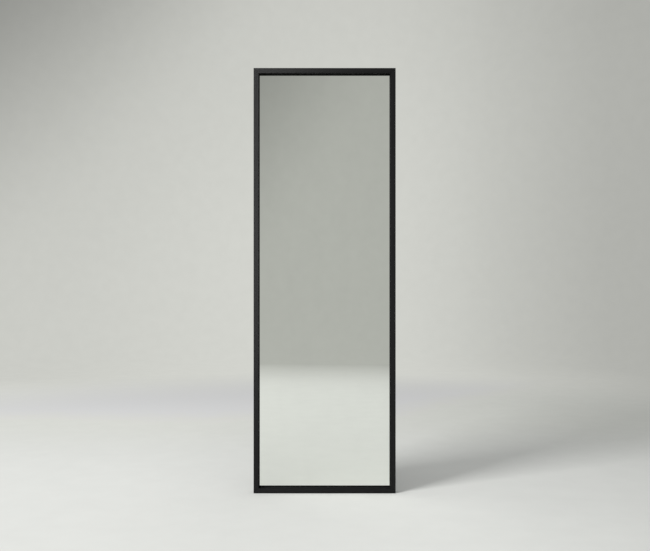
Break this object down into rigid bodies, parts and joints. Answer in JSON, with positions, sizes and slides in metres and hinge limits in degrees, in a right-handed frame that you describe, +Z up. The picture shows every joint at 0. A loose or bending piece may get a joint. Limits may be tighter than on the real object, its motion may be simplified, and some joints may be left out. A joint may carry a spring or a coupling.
{
  "type": "pull-out wardrobe mirror",
  "caption": "Tall slim black-framed wardrobe mirror on two full-extension slides, with a carriage on which it swivels to face the room.",
  "frame": {"origin": "centre of the four-hole screw pattern, on the face of the wardrobe's side panel, half way up the mirror", "axes": "+X is the pull-out direction, towards the room; +Z is up, along the mirror; +Y points into the side panel, and the mirror faces -Y when it is stored"},
  "size_m": [0.334, 0.058, 1],
  "materials": {
    "frame_aluminium": "satin black anodised",
    "cast_key": "die cast",
    "gasket_rubber": "matte extruded",
    "mirror_silver": "silvered float glass",
    "film_plastic": "safety film",
    "foam": "closed-cell foam",
    "hardboard": "black-faced hardboard",
    "coated_steel": "black powder coat",
    "zinc_steel": "zinc plated",
    "cage_steel": "cold rolled",
    "ball_steel": "polished",
    "nylon_white": "moulded nylon",
    "rivet_aluminium": "plain",
    "screw_steel": "zinc plated",
    "pin_steel": "turned",
    "housing_plastic": "moulded, fine texture",
    "magnet": "nickel plated"
  },
  "bodies": {
    "fixed_rails": {"slide_outer_upper": "zinc_steel", "slide_outer_lower": "zinc_steel", "rear_stop_upper": "nylon_white", "rear_stop_lower": "nylon_white", "stop_rivets": "rivet_aluminium"},
    "carriage": {"slide_inner_upper": "zinc_steel", "slide_inner_lower": "zinc_steel", "carriage_post": "coated_steel", "pivot_bracket_upper": "coated_steel", "pivot_bracket_lower": "coated_steel", "pivot_pin_upper": "pin_steel", "pivot_pin_lower": "pin_steel", "pivot_washers": "screw_steel", "pivot_nuts": "screw_steel", "swivel_stop_pins": "pin_steel", "carriage_screws": "screw_steel", "catch_screws": "screw_steel", "bracket_bolts": "screw_steel", "bracket_nuts": "screw_steel", "magnet_housing_upper": "housing_plastic", "magnet_housing_lower": "housing_plastic", "catch_magnets": "magnet"},
    "mirror_panel": {"frame_left_stile": "frame_aluminium", "frame_right_stile": "frame_aluminium", "frame_top_rail": "frame_aluminium", "frame_bottom_rail": "frame_aluminium", "corner_keys": "cast_key", "gasket_left": "gasket_rubber", "gasket_right": "gasket_rubber", "gasket_top": "gasket_rubber", "gasket_bottom": "gasket_rubber", "mirror_glass": "mirror_silver", "safety_film": "film_plastic", "foam_pad": "foam", "backing_board": "hardboard", "cross_strip_upper": "coated_steel", "cross_strip_lower": "coated_steel", "cross_strip_screws": "screw_steel", "pivot_bush_upper": "nylon_white", "pivot_bush_lower": "nylon_white", "strike_plates": "pin_steel"},
    "middle_upper": {"slide_middle_upper": "zinc_steel"},
    "cage_outer_upper_body": {"cage_outer_upper": "cage_steel", "balls_outer_upper": "ball_steel"},
    "cage_inner_upper_body": {"cage_inner_upper": "cage_steel", "balls_inner_upper": "ball_steel"},
    "middle_lower": {"slide_middle_lower": "zinc_steel"},
    "cage_outer_lower_body": {"cage_outer_lower": "cage_steel", "balls_outer_lower": "ball_steel"},
    "cage_inner_lower_body": {"cage_inner_lower": "cage_steel", "balls_inner_lower": "ball_steel"}
  },
  "joints": [
    {"name": "pull_out", "type": "slide", "parent": "fixed_rails", "child": "carriage", "axis": [1, 0, 0], "range_m": [0, 0.3]},
    {"name": "swivel", "type": "hinge", "parent": "carriage", "child": "mirror_panel", "pos_m": [0.152, -0.0217, 0], "axis": [0, 0, 1], "range_deg": [0, 120]},
    {"name": "middle_upper_slide", "type": "slide", "parent": "fixed_rails", "child": "middle_upper", "axis": [1, 0, 0], "range_m": [0, 0.15]},
    {"name": "cage_outer_upper_roll", "type": "slide", "parent": "fixed_rails", "child": "cage_outer_upper_body", "axis": [1, 0, 0], "range_m": [0, 0.075]},
    {"name": "cage_inner_upper_roll", "type": "slide", "parent": "fixed_rails", "child": "cage_inner_upper_body", "axis": [1, 0, 0], "range_m": [0, 0.225]},
    {"name": "middle_lower_slide", "type": "slide", "parent": "fixed_rails", "child": "middle_lower", "axis": [1, 0, 0], "range_m": [0, 0.15]},
    {"name": "cage_outer_lower_roll", "type": "slide", "parent": "fixed_rails", "child": "cage_outer_lower_body", "axis": [1, 0, 0], "range_m": [0, 0.075]},
    {"name": "cage_inner_lower_roll", "type": "slide", "parent": "fixed_rails", "child": "cage_inner_lower_body", "axis": [1, 0, 0], "range_m": [0, 0.225]}
  ],
  "couplings": [
    {"joint": "middle_upper_slide", "follows": "pull_out", "ratio": 0.5},
    {"joint": "cage_outer_upper_roll", "follows": "pull_out", "ratio": 0.25},
    {"joint": "cage_inner_upper_roll", "follows": "pull_out", "ratio": 0.75},
    {"joint": "middle_lower_slide", "follows": "pull_out", "ratio": 0.5},
    {"joint": "cage_outer_lower_roll", "follows": "pull_out", "ratio": 0.25},
    {"joint": "cage_inner_lower_roll", "follows": "pull_out", "ratio": 0.75}
  ]
}
